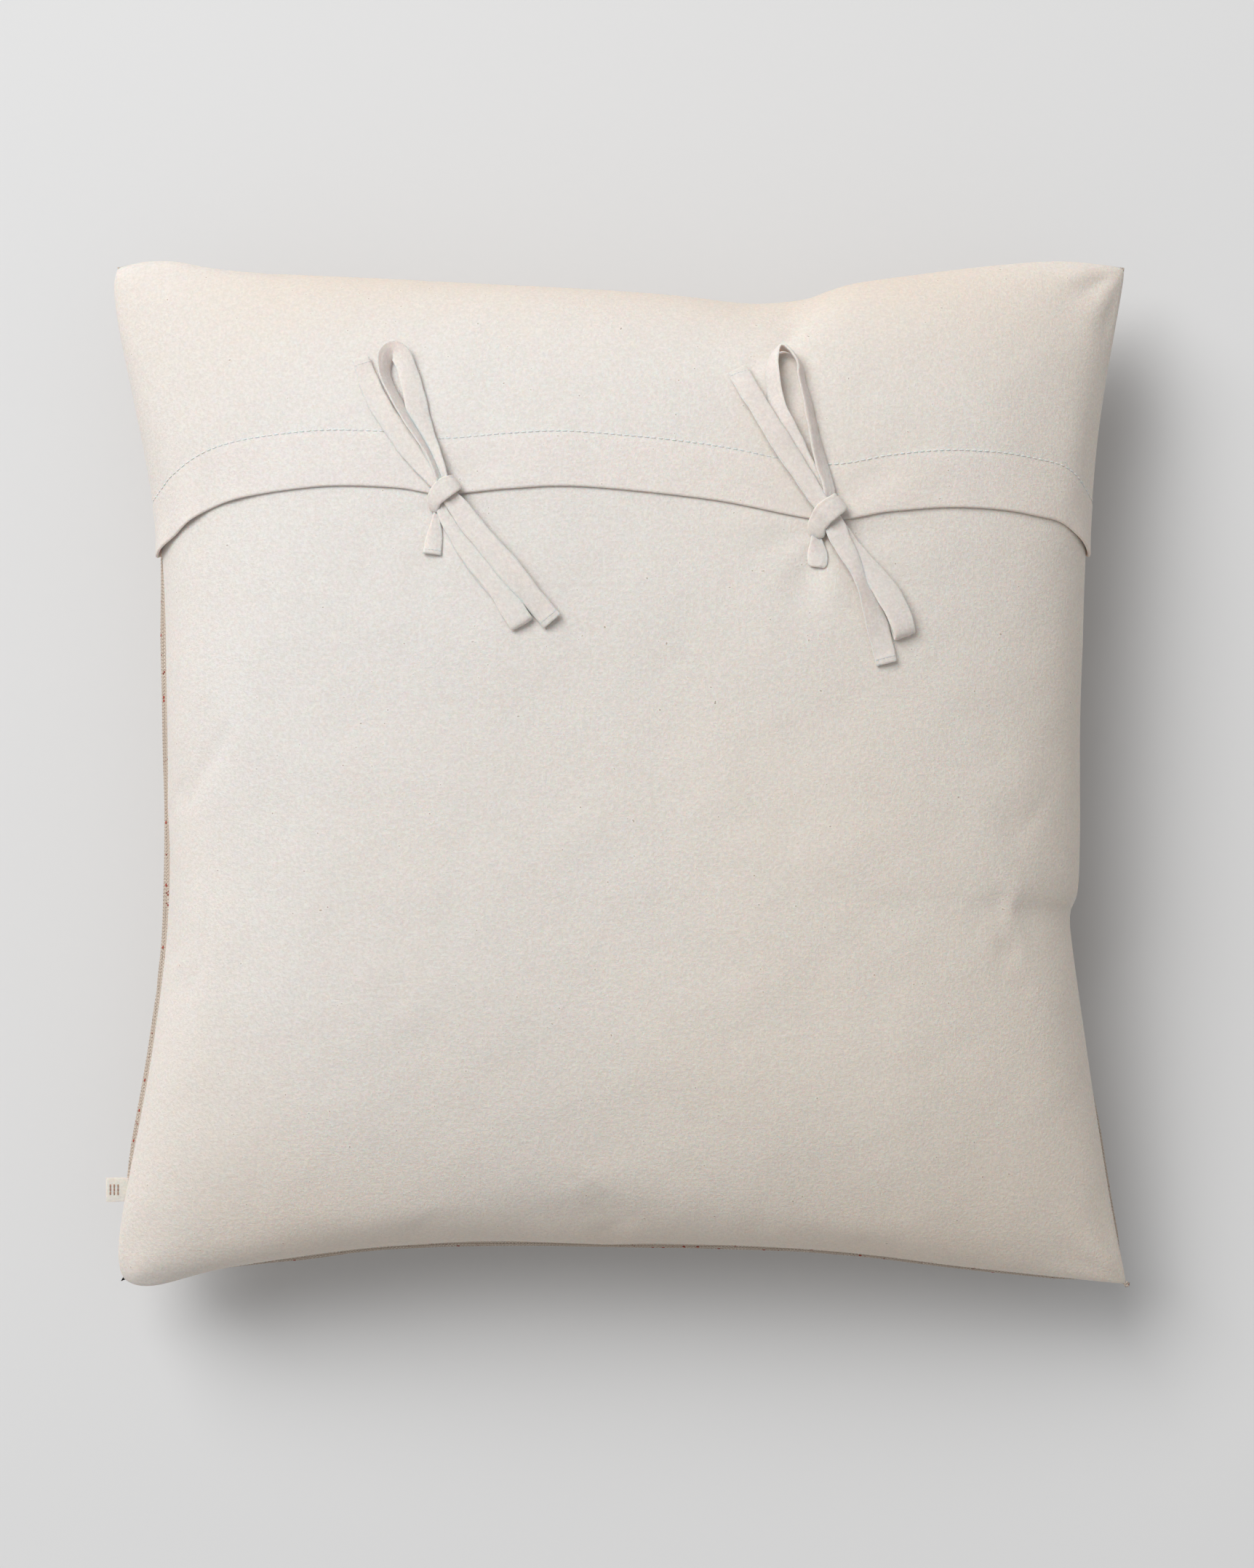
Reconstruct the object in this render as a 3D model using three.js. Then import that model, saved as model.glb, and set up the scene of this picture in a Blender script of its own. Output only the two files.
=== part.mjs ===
// A square floor cushion in a removable cotton cover, lying face down so that its tied back is up.
//
// Millimetres, +Z up, +Y towards the edge that the flap hangs from, origin on the floor under the middle.
// The cover is a decorated front panel, a plain lower back panel and a flap that overlaps it. The flap's
// free edge is held down by two bows, each knotted from a tie on the flap and a tie on the panel below.
// Inside is an insert: a two-panel inner case round a soft filling.
//
// Every layer of the cushion is the same pillow surface, drawn in or let out by a depth, so that the
// layers nest with an even gap. The straps of the bows are flat ribbons that follow that surface.
import * as THREE from "three";
import { mergeVertices } from "three/addons/utils/BufferGeometryUtils.js";

// The filled cover, corner to corner along the seam, and its profile.
const COVER_WIDTH = 580;
const COVER_LENGTH = 587;
const SIDES_DRAWN_IN = 0.1; // at the middle of a side, as a share of the half width
const ENDS_DRAWN_IN = 0.075;
const SEAM_HEIGHT = 84; // above the floor, at the middle of each side
const CORNER_HEIGHT = 66;
const CROWN_RISE = 84; // the back's crown above the seam
const BELLY_DROP = 104; // the front would hang this far below the seam if the floor were not there
const FULLNESS = 2.6; // 2 is an ellipse in section, more is squarer

// Cloth and the spaces between layers.
const CLOTH = 1.6;
const CASE_CLOTH = 1;
const PANEL_GAP = 0.8; // flap over panel
const SEAM_GAP = 0.4; // back panels over front panel
const INSERT_GAP = 2.6; // cover to insert
const FILLING_GAP = 1.2;

// The flap's free edge, and how far the lower panel runs on under it.
const FLAP_EDGE_MIDDLE = 152;
const FLAP_EDGE_SIDES = 124;
const FLAP_EDGE_SLANT = 16; // it hangs a little lower towards +X
const FLAP_EDGE_SQUARENESS = 6;
const UNDERLAP = 76;

// Straps and knots.
const STRAP_WIDTH = 12;
const STRAP_CLOTH = 1.6;
const STRAP_GAP = 0.6;
const ROOT_WIDTH = 5; // a strap is gathered where the knot grips it
const GATHER_LENGTH = 24;
const STRAP_START = 9.5; // from the knot's middle
const LOOP_START = 12.5;
const LOOP_SPREAD = 14;
const LOOP_BELLY = 0.8;
const KNOT_RADIUS = 5.5;
const KNOT_LENGTH = 23;
const KNOT_ROUNDING = 3.5;
const KNOT_BELOW_EDGE = 1;

// Levels of the straps, above the lower panel's outer face.
const PANEL_LEVEL = 0.4;
const FLAP_LEVEL = PANEL_GAP + CLOTH + 0.6;

// The folded label in the side seam.
const LABEL_WIDTH = 14;
const LABEL_LENGTH = 10;
const LABEL_CLOTH = 0.6;
const LABEL_FOLD = 1.2; // between the middles of its two layers
const LABEL_AT = -241;
const LABEL_GAP = 1.4;

// Mesh fineness.
const COVER_STEPS = 18;
const FLAP_STEPS = 8;
const INSERT_STEPS = 14;
const STRAP_STEPS = 10;
const LOOP_STEPS = 24;
const BASE_STEPS = 3;
const KNOT_SIDES = 16;
const ROUNDING_STEPS = 3;

const CANVAS = { color: 0xe6ddd3, roughness: 0.95, metalness: 0 };
const FRONT_WEAVE = { color: 0xd9cbb9, roughness: 1, metalness: 0 };
const TIE_CLOTH = { color: 0xece3da, roughness: 0.95, metalness: 0 };
const CASE_COTTON = { color: 0xf3f1ec, roughness: 0.9, metalness: 0 };
const FIBRE = { color: 0xffffff, roughness: 1, metalness: 0 };
const LABEL_TAPE = { color: 0xe9dccf, roughness: 0.8, metalness: 0 };

const BACK = 1;
const FRONT = -1;
const HALF_WIDTH = COVER_WIDTH / 2;
const HALF_LENGTH = COVER_LENGTH / 2;

const { lerp, degToRad } = THREE.MathUtils;

// How full the cushion is at u, v, each from -1 at one seam to 1 at the other.
function fullness(u, v) {
  const across = Math.max(0, 1 - Math.abs(u) ** FULLNESS);
  const along = Math.max(0, 1 - Math.abs(v) ** FULLNESS);
  return Math.sqrt(across * along);
}

const halfWidthAt = (v) => HALF_WIDTH * (1 - SIDES_DRAWN_IN * (1 - v * v));
const halfLengthAt = (u) => HALF_LENGTH * (1 - ENDS_DRAWN_IN * (1 - u * u));

// A point of the cushion's back or front, drawn in by depth from the cover's outer face.
function pillow(u, v, side, depth) {
  const seam = lerp(SEAM_HEIGHT, CORNER_HEIGHT, u * u * v * v);
  const bulge = side === BACK ? CROWN_RISE : -BELLY_DROP;
  const z = Math.max(0, seam + bulge * fullness(u, v));
  const inPlan = 1 - depth / HALF_WIDTH;
  const inHeight = 1 - depth / SEAM_HEIGHT;
  return new THREE.Vector3(
    u * halfWidthAt(v) * inPlan,
    v * halfLengthAt(u) * inPlan,
    seam + (z - seam) * inHeight + (side === BACK ? SEAM_GAP : 0),
  );
}

// The back's outer face above a plan position, whose u, v come by repeated correction.
function backAt(x, y) {
  let u = x / HALF_WIDTH;
  let v = y / HALF_LENGTH;
  for (let i = 0; i < 12; i++) {
    u = x / halfWidthAt(v);
    v = y / halfLengthAt(u);
  }
  return pillow(u, v, BACK, 0);
}

function backNormalAt(x, y) {
  const step = 2;
  const alongX = backAt(x + step, y).sub(backAt(x - step, y));
  const alongY = backAt(x, y + step).sub(backAt(x, y - step));
  return alongX.cross(alongY).normalize();
}

// A closed solid between two grids of points. The upper one faces the way of row step x column step.
// Each cell is split along the diagonal that runs out from the Z axis, which suits a square pillow.
function closedSheet(upper, lower) {
  const corners = [];
  const quad = (a, b, c, d) => corners.push(a, b, c, a, c, d);
  const rows = upper.length - 1;
  const columns = upper[0].length - 1;
  for (let i = 0; i < rows; i++) {
    for (let j = 0; j < columns; j++) {
      const over = [upper[i][j], upper[i + 1][j], upper[i + 1][j + 1], upper[i][j + 1]];
      const under = [lower[i][j], lower[i][j + 1], lower[i + 1][j + 1], lower[i + 1][j]];
      const middle = over[0].clone().add(over[2]);
      if (middle.x < 0 !== middle.y < 0) {
        over.push(over.shift());
        under.push(under.shift());
      }
      quad(...over);
      quad(...under);
    }
    quad(upper[i][0], lower[i][0], lower[i + 1][0], upper[i + 1][0]);
    quad(upper[i][columns], upper[i + 1][columns], lower[i + 1][columns], lower[i][columns]);
  }
  for (let j = 0; j < columns; j++) {
    quad(upper[0][j], upper[0][j + 1], lower[0][j + 1], lower[0][j]);
    quad(upper[rows][j], lower[rows][j], lower[rows][j + 1], upper[rows][j + 1]);
  }
  const solid = mergeVertices(new THREE.BufferGeometry().setFromPoints(corners), 1e-4);
  solid.computeVertexNormals();
  return solid;
}

const lowSeam = () => -1;
const highSeam = () => 1;

// A grid of surface points, closer together towards the seams, between two edges that may vary with u.
function patch(side, depth, { steps, rows = steps, from = lowSeam, to = highSeam }) {
  const grid = [];
  for (let i = 0; i <= steps; i++) {
    const u = Math.sin(Math.PI * (i / steps - 0.5));
    const start = Math.asin(from(u));
    const end = Math.asin(to(u));
    const line = [];
    for (let j = 0; j <= rows; j++) {
      line.push(pillow(u, Math.sin(lerp(start, end, j / rows)), side, depth));
    }
    grid.push(line);
  }
  return grid;
}

function panel(side, depth, cloth, extent) {
  const outside = patch(side, depth, extent);
  const inside = patch(side, depth + cloth, extent);
  return side === BACK ? closedSheet(outside, inside) : closedSheet(inside, outside);
}

// The y of the flap's free edge: level across the crown, turning down to where the side seams hold it.
function flapEdge(u) {
  const squareness = 1 - Math.abs(u) ** FLAP_EDGE_SQUARENESS;
  const slant = FLAP_EDGE_SLANT * u * (1 - u * u);
  return lerp(FLAP_EDGE_SIDES, FLAP_EDGE_MIDDLE, squareness) - slant;
}

const coverExtent = { steps: COVER_STEPS };
const flapExtent = {
  steps: COVER_STEPS,
  rows: FLAP_STEPS,
  from: (u) => flapEdge(u) / halfLengthAt(u),
};
const lowerPanelExtent = {
  steps: COVER_STEPS,
  to: (u) => (FLAP_EDGE_MIDDLE + UNDERLAP) / halfLengthAt(u),
};
const insertExtent = { steps: INSERT_STEPS };

function filling(depth) {
  return closedSheet(patch(BACK, depth, insertExtent), patch(FRONT, depth, insertExtent));
}

// A flat strap along a line of stations, each with a centre, a unit vector across and a width.
function ribbon(stations, cloth) {
  const over = [[], []];
  const under = [[], []];
  stations.forEach(({ centre, across, width }, j) => {
    const before = stations[Math.max(0, j - 1)].centre;
    const after = stations[Math.min(stations.length - 1, j + 1)].centre;
    const normal = across.clone().cross(after.clone().sub(before)).normalize();
    [-0.5, 0.5].forEach((edge, i) => {
      const point = centre.clone().addScaledVector(across, edge * width);
      over[i].push(point.clone().addScaledVector(normal, cloth / 2));
      under[i].push(point.clone().addScaledVector(normal, -cloth / 2));
    });
  });
  return closedSheet(over, under);
}

// A strap's width at a distance from the knot that gathers it.
function gathered(along) {
  return lerp(ROOT_WIDTH, STRAP_WIDTH, Math.min(1, (along - STRAP_START) / GATHER_LENGTH));
}

const fullWidth = () => STRAP_WIDTH;

// A place on the flap's edge for a bow, whose straps are made round it in its own frame.
// Headings are in degrees anticlockwise from +X.
class BowPlace {
  constructor(x, y) {
    this.origin = backAt(x, y);
  }

  // A point so far along a heading and to the left of it, raised above the cushion's surface.
  over(heading, along, left, height) {
    const angle = degToRad(heading);
    const x = this.origin.x + along * Math.cos(angle) - left * Math.sin(angle);
    const y = this.origin.y + along * Math.sin(angle) + left * Math.cos(angle);
    return backAt(x, y).addScaledVector(backNormalAt(x, y), height).sub(this.origin);
  }

  // The unit vector to the right of a heading, in the surface.
  rightOf(heading, along) {
    return this.over(heading, along, -1, 0).sub(this.over(heading, along, 1, 0)).normalize();
  }

  // A strap lying flat from one distance to another, its underside at a level.
  flatStrap(heading, from, to, level, width = gathered, steps = STRAP_STEPS) {
    const stations = [];
    for (let j = 0; j <= steps; j++) {
      const along = lerp(from, to, j / steps);
      stations.push({
        centre: this.over(heading, along, 0, level + STRAP_CLOTH / 2),
        across: this.rightOf(heading, along),
        width: width(along),
      });
    }
    return ribbon(stations, STRAP_CLOTH);
  }

  // A loop whose strap stands on edge: out along one side, round the tip and back along the other.
  standingLoop(heading, reach, level) {
    const stations = [];
    for (let j = 0; j <= LOOP_STEPS; j++) {
      const turn = (2 * Math.PI * j) / LOOP_STEPS;
      const out = (1 - Math.cos(turn)) / 2;
      const along = lerp(LOOP_START, reach, out);
      const left = LOOP_SPREAD * Math.sin(turn) * Math.sqrt(out) + STRAP_CLOTH * Math.cos(turn / 2);
      const width = gathered(along);
      const centre = this.over(heading, along, left, level + width / 2);
      const top = this.over(heading, along, left, level + width);
      stations.push({ centre, across: top.sub(centre).normalize(), width });
    }
    return ribbon(stations, STRAP_CLOTH);
  }

  // A loop that lies flat: one layer out, a fold at the tip, and a second layer back over the first.
  foldedLoop(heading, reach, level) {
    const stations = [];
    for (let j = 0; j <= LOOP_STEPS; j++) {
      const turn = (2 * Math.PI * j) / LOOP_STEPS;
      const out = (1 - Math.cos(turn)) / 2;
      const along = lerp(STRAP_START, reach, out);
      const onTop = (1 + Math.sign(j - LOOP_STEPS / 2)) / 2;
      const rise = STRAP_CLOTH + STRAP_GAP + LOOP_BELLY * Math.sin(Math.PI * out);
      stations.push({
        centre: this.over(heading, along, 0, level + STRAP_CLOTH / 2 + onTop * rise),
        across: this.rightOf(heading, along),
        width: gathered(along),
      });
    }
    return ribbon(stations, STRAP_CLOTH);
  }

  knotCentre() {
    return this.over(0, 0, 0, FLAP_LEVEL + KNOT_RADIUS);
  }
}

// The wrapped middle of a bow, a short roll with rounded ends along its own Y.
function knotRoll() {
  const half = KNOT_LENGTH / 2;
  const profile = [new THREE.Vector2(0, -half)];
  for (const end of [-1, 1]) {
    for (let k = 0; k <= ROUNDING_STEPS; k++) {
      const turned = end < 0 ? k / ROUNDING_STEPS - 1 : k / ROUNDING_STEPS;
      const angle = (turned * Math.PI) / 2;
      const radius = KNOT_RADIUS - KNOT_ROUNDING * (1 - Math.cos(angle));
      const along = end * (half - KNOT_ROUNDING) + KNOT_ROUNDING * Math.sin(angle);
      profile.push(new THREE.Vector2(radius, along));
    }
  }
  profile.push(new THREE.Vector2(0, half));
  return new THREE.LatheGeometry(profile, KNOT_SIDES);
}

function node(name, geometry, look) {
  const mesh = new THREE.Mesh(geometry, new THREE.MeshStandardMaterial(look));
  mesh.name = name;
  return mesh;
}

function group(...children) {
  return new THREE.Group().add(...children);
}

const LEVEL_ON_STRAP = FLAP_LEVEL + STRAP_CLOTH + STRAP_GAP;
const LEVEL_ON_LOOP = FLAP_LEVEL + 2 * STRAP_CLOTH + STRAP_GAP + LOOP_BELLY + STRAP_GAP;

// One bow. What crosses the knot lies nearly in line with it: its limbs, each a tail and a loop, go up
// over the flap and down over the panel, and its two ties are sewn on below the flap's edge.
function bow(side, x, limbs, knotHeading) {
  const y = flapEdge(x / HALF_WIDTH) - KNOT_BELOW_EDGE;
  const place = new BowPlace(x, y);
  const tied = (name, geometry) => node(`${side}_${name}`, geometry, TIE_CLOTH);
  const { upperTail, upperLoop, lowerTail, lowerLoop, base } = limbs;

  const knot = tied("knot", knotRoll());
  knot.position.copy(place.knotCentre());
  knot.quaternion.setFromUnitVectors(new THREE.Vector3(0, 1, 0), place.rightOf(knotHeading, 0));

  const upper = upperLoop.standing
    ? [
        place.flatStrap(upperTail.heading, STRAP_START, upperTail.reach, FLAP_LEVEL),
        place.standingLoop(upperLoop.heading, upperLoop.reach, LEVEL_ON_STRAP),
      ]
    : [
        place.flatStrap(upperTail.heading, STRAP_START, upperTail.reach, LEVEL_ON_LOOP),
        place.foldedLoop(upperLoop.heading, upperLoop.reach, FLAP_LEVEL),
      ];
  const bases = {
    flap: [STRAP_GAP + KNOT_BELOW_EDGE, STRAP_START - STRAP_GAP],
    panel: [STRAP_START, base.reach],
  };
  const straps = group(
    knot,
    tied("upper_tail", upper[0]),
    tied("upper_loop", upper[1]),
    tied("lower_tail", place.flatStrap(lowerTail.heading, STRAP_START, lowerTail.reach, LEVEL_ON_LOOP)),
    tied("lower_loop", place.foldedLoop(lowerLoop.heading, lowerLoop.reach, FLAP_LEVEL)),
    ...Object.entries(bases).map(([sewnTo, [from, to]]) =>
      tied(
        `${sewnTo}_tie_base`,
        place.flatStrap(base.heading, from, to, PANEL_LEVEL, fullWidth, BASE_STEPS),
      ),
    ),
  );
  straps.position.copy(place.origin);
  return straps;
}

// The label: a tape folded in two, in its own frame with the fold towards +X and the seam at its origin.
function label() {
  const straight = LABEL_LENGTH - LABEL_FOLD / 2 - LABEL_CLOTH / 2;
  const turns = 6;
  const stations = [{ x: 0, z: -LABEL_FOLD / 2 }];
  for (let k = 0; k <= turns; k++) {
    const angle = Math.PI * (k / turns - 0.5);
    const radius = LABEL_FOLD / 2;
    stations.push({ x: straight + radius * Math.cos(angle), z: radius * Math.sin(angle) });
  }
  stations.push({ x: 0, z: LABEL_FOLD / 2 });
  const across = new THREE.Vector3(0, -1, 0);
  return ribbon(
    stations.map(({ x, z }) => ({ centre: new THREE.Vector3(x, 0, z), across, width: LABEL_WIDTH })),
    LABEL_CLOTH,
  );
}

const frontDepth = 0;
const flapDepth = -PANEL_GAP - CLOTH;
const caseDepth = CLOTH + INSERT_GAP;
const fillingDepth = caseDepth + CASE_CLOTH + FILLING_GAP;

const cover = group(
  node("front_panel", panel(FRONT, frontDepth, CLOTH, coverExtent), FRONT_WEAVE),
  node("back_lower_panel", panel(BACK, frontDepth, CLOTH, lowerPanelExtent), CANVAS),
  node("back_flap", panel(BACK, flapDepth, CLOTH, flapExtent), CANVAS),
);

const insert = group(
  node("insert_case_front", panel(FRONT, caseDepth, CASE_CLOTH, insertExtent), CASE_COTTON),
  node("insert_case_back", panel(BACK, caseDepth, CASE_CLOTH, insertExtent), CASE_COTTON),
  node("insert_filling", filling(fillingDepth), FIBRE),
);

const leftBow = bow(
  "left",
  -98,
  {
    upperTail: { heading: 123, reach: 88 },
    upperLoop: { heading: 107, reach: 88, standing: true },
    lowerTail: { heading: -48, reach: 96 },
    lowerLoop: { heading: -58, reach: 91 },
    base: { heading: -104, reach: 37 },
  },
  115,
);

const rightBow = bow(
  "right",
  115,
  {
    upperTail: { heading: 122, reach: 93 },
    upperLoop: { heading: 105, reach: 94, standing: false },
    lowerTail: { heading: -70, reach: 92 },
    lowerLoop: { heading: -55, reach: 82 },
    base: { heading: -100, reach: 30 },
  },
  115,
);

// The label stands square to the left side seam, which leans in from the corner.
const labelShare = LABEL_AT / HALF_LENGTH;
const seamLean = Math.atan((-2 * HALF_WIDTH * SIDES_DRAWN_IN * labelShare) / HALF_LENGTH);
const tab = node("label_tab", label(), LABEL_TAPE);
tab.position.copy(pillow(-1, labelShare, FRONT, 0));
tab.rotation.z = Math.PI - seamLean;
tab.translateX(LABEL_GAP);

const cushion = group(cover, insert, leftBow, rightBow, tab);
cushion.name = "floor_cushion";

export default cushion;
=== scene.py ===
# %% [markdown]
# # A floor cushion with a tied back
#
# The cushion is a removable cotton cover round a soft insert. It lies face down, so that its plain back is
# up: a lower panel, and over it a flap that two bows hold down. This file builds what the eye sees around
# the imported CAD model. The model gives the places and sizes; the cloth, the bows, the stitches and the
# finishes are made here. Everything is in metres, with the floor at z = 0 and +Y towards the flap.

# %% Load the frame
import math

import bpy
import numpy as np
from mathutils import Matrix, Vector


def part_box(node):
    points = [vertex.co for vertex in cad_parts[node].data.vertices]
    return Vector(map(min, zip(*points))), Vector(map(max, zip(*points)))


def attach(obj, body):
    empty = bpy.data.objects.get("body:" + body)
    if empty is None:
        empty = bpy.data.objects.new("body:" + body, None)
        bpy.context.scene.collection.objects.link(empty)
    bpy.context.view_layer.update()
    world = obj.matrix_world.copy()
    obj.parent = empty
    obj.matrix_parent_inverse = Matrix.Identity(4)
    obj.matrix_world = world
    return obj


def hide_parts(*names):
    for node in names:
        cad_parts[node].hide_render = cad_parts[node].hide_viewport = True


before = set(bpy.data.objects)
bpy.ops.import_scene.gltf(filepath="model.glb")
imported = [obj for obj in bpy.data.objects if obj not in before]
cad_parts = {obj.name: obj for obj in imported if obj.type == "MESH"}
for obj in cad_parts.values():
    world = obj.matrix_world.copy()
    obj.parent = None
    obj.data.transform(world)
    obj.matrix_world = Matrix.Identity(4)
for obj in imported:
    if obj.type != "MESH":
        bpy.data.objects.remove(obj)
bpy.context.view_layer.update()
MM = 0.001

# %% [markdown]
# ## Shader maths as Python
#
# A finish is a small program of nodes. A Wire stands for one value in it, and Python's own operators on a
# wire add Math nodes, so a weave can be written as a formula. The other node types all come from one method
# of Finish, which sets the node's options first and then its sockets.

# %% Wire: a value in a finish
class Wire:
    def __init__(self, finish, socket):
        self.finish = finish
        self.socket = socket

    def math(self, operation, first, second):
        return self.finish.node("ShaderNodeMath", {"operation": operation}, [first, second])

    def __add__(self, other):
        return self.math("ADD", self, other)

    def __sub__(self, other):
        return self.math("SUBTRACT", self, other)

    def __rsub__(self, other):
        return self.math("SUBTRACT", other, self)

    def __mul__(self, other):
        return self.math("MULTIPLY", self, other)

    def __pow__(self, other):
        return self.math("POWER", self, other)

    def __gt__(self, other):
        return self.math("GREATER_THAN", self, other)

    __radd__ = __add__
    __rmul__ = __mul__


# %% Finish: a material and the one way to add its nodes
class Finish:
    def __init__(self, name, roughness, **constants):
        self.material = bpy.data.materials.new(name)
        self.material.use_nodes = True
        self.nodes = self.material.node_tree.nodes
        self.links = self.material.node_tree.links
        self.shader = self.nodes["Principled BSDF"]
        self.give("Roughness", roughness)
        for socket, value in constants.items():
            self.give(socket.replace("_", " "), value)

    def join(self, value, socket):
        if isinstance(value, Wire):
            self.links.new(value.socket, socket)
        else:
            socket.default_value = value

    def give(self, socket, value):
        self.join(value, self.shader.inputs[socket])

    def node(self, kind, settings, values, out=0):
        made = self.nodes.new(kind)
        for key, value in settings.items():
            setattr(made, key, value)
        for socket, value in values.items() if isinstance(values, dict) else enumerate(values):
            self.join(value, made.inputs[socket])
        return Wire(self, made.outputs[out])

    def place(self):
        return self.node("ShaderNodeTexCoord", {}, {}, "Object")

    def stretched(self, where, *scales):
        return self.node("ShaderNodeVectorMath", {"operation": "MULTIPLY"}, [where, scales])

    def noise(self, where, scale, detail=2, roughness=0.5):
        values = {"Vector": where, "Scale": scale, "Detail": detail, "Roughness": roughness}
        return self.node("ShaderNodeTexNoise", {}, values, "Fac")

    def ramp(self, value, low, high):
        """0 below low, 1 above high, and smooth between them."""
        values = {"Value": value, "From Min": low, "From Max": high}
        return self.node("ShaderNodeMapRange", {"interpolation_type": "SMOOTHSTEP"}, values)

    def mix(self, share, first, second):
        colours = [(*c, 1) if isinstance(c, tuple) else c for c in (first, second)]
        return self.node("ShaderNodeMix", {"data_type": "RGBA"}, {0: share, 6: colours[0], 7: colours[1]}, 2)

    def bump(self, height, depth):
        """Raises the surface by height, from 0 to 1, times a depth in metres."""
        values = {"Height": height, "Distance": depth, "Strength": 1.0}
        self.give("Normal", self.node("ShaderNodeBump", {}, values))


# %% [markdown]
# ## Camera, floor and light
#
# The cushion is seen from straight above, from two metres over its seam, so that its outline is the
# outline of the seam. One large soft lamp stands at the upper left and throws the shade to the lower
# right. An even pale sky fills that shade in, but not close to the cushion, where its belly hides the sky.

# %% Camera and floor
seam_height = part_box("label_tab")[0].z
CAMERA_DISTANCE = 2.0
SEEN_HEIGHT = 0.9055  # of the floor at the seam's level
SENSOR = 36.0

camera_data = bpy.data.cameras.new("camera")
camera_data.sensor_width = SENSOR
camera_data.lens = SENSOR * CAMERA_DISTANCE / SEEN_HEIGHT
camera = bpy.data.objects.new("camera", camera_data)
camera.location = (4.2 * MM, -5.9 * MM, seam_height + CAMERA_DISTANCE)
bpy.context.scene.collection.objects.link(camera)
bpy.context.scene.camera = camera
bpy.context.scene.view_settings.view_transform = "Standard"

bpy.ops.mesh.primitive_plane_add(size=16, location=(0, 0, -0.3 * MM))
floor = bpy.context.object
floor.name = "floor"
paint = Finish("studio_floor", 0.9, Base_Color=(0.73, 0.73, 0.73, 1), Specular_IOR_Level=0.1)
floor.data.materials.append(paint.material)
print("camera", [round(c, 3) for c in camera.location], "lens", round(camera_data.lens, 1))

# %% Light
LAMP = (-2.55, 3.0, 4.5)
LAMP_SIZE = 4.0
LAMP_POWER = 305
SKY = 0.40

lamp_data = bpy.data.lights.new("lamp", "AREA")
lamp_data.size = LAMP_SIZE
lamp_data.energy = LAMP_POWER
lamp_data.color = (1.0, 1.0, 1.0)
lamp = bpy.data.objects.new("lamp", lamp_data)
lamp.location = LAMP
lamp.rotation_euler = (-lamp.location).to_track_quat("-Z", "Y").to_euler()
bpy.context.scene.collection.objects.link(lamp)

sky = bpy.data.worlds.new("sky")
sky.use_nodes = True
sky.node_tree.nodes["Background"].inputs["Color"].default_value = (1.0, 1.0, 1.0, 1)
sky.node_tree.nodes["Background"].inputs["Strength"].default_value = SKY
bpy.context.scene.world = sky
print("lamp at", LAMP, "with", LAMP_POWER, "W and a sky of", SKY)

# %% [markdown]
# ## Cotton canvas
#
# The back is a cream cotton canvas, washed until it has a fine pebbled face. Close up it is threads going
# both ways, so two noises stretched along X and along Y make the yarns, and a third, round one makes the
# crimped pebbles. They raise a bump, and the hollows between the pebbles are painted a little darker, as
# painted shade. The cream goes from a cooler tone at the upper left to a warmer one at the lower right,
# which is painted shade: the warm tone of the side turned away from the lamp. Low on the rim a browner
# tint, strongest along the middle of the top and bottom, stands in for the warm shade that the lights alone
# don't give. A few thicker yarns are lighter and a few specks of seed husk are dark, as in undyed cotton.
# Some light passes under the surface and warms the shading.

# %% The canvas finish
CREAM_WARM = (0.845, 0.748, 0.665)
CREAM_COOL = (0.82, 0.770, 0.74)
HUSK = (0.36, 0.27, 0.20)
RIM_TINT = (0.91, 0.85, 0.78)
RIM_TOP, RIM_FOOT = 145 * MM, 85 * MM  # the rim tint grows between these heights


def cotton(name, warm, cool, pebble=0.34 * MM, specks=1.0):
    finish = Finish(
        name, 0.92, Sheen_Weight=0.08, Sheen_Roughness=0.5, Specular_IOR_Level=0.15,
        Subsurface_Weight=0.5, Subsurface_Radius=(1.0, 0.45, 0.28), Subsurface_Scale=3.5 * MM,
    )
    where = finish.place()
    split = finish.node("ShaderNodeSeparateXYZ", {}, [where])
    x, y, z = (Wire(finish, split.socket.node.outputs[k]) for k in range(3))
    drift = finish.noise(where, 7, 2)
    yarn_x = finish.noise(finish.stretched(where, 130, 1300, 1300), 1, 2)
    yarn_y = finish.noise(finish.stretched(where, 1300, 130, 1300), 1, 2)
    pebbles = finish.ramp(finish.noise(where, 560, 3, 0.7), 0.25, 0.75)
    patches = finish.noise(where, 170, 1)
    slub = finish.ramp(finish.noise(finish.stretched(where, 60, 900, 900), 1, 1), 0.70, 0.78)
    husk = finish.ramp(finish.noise(where, 560, 0), 0.866, 0.876) * specks
    # painted shade: the cream turns warmer towards the lower right, the side away from the lamp
    painted_shade_warmth = finish.ramp(x * 0.8 - y * 0.6 + 0.25 * drift, -0.12, 0.42)
    on_rim = finish.ramp(z, RIM_TOP, RIM_FOOT) * (0.35 + 0.65 * finish.ramp(x * x, 0.07, 0.02))
    cream = finish.mix(painted_shade_warmth, cool, warm)
    cream = finish.mix(0.75 * on_rim, cream, tuple(w * c for w, c in zip(RIM_TINT, warm)))
    # painted shade: the hollows between the pebbles are darker in colour
    shaded = finish.mix(0.34 * (1 - pebbles), cream, tuple(0.6 * c for c in warm))
    lighter = finish.mix(0.2 * slub, shaded, (0.86, 0.83, 0.79))
    finish.give("Base Color", finish.mix(husk * 0.7, lighter, HUSK))
    finish.give("Roughness", 0.86 + 0.1 * pebbles)
    height = 0.5 * pebbles + 0.22 * yarn_x + 0.22 * yarn_y + 0.2 * patches + 0.12 * slub
    finish.bump(height, pebble)
    return finish.material


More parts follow.
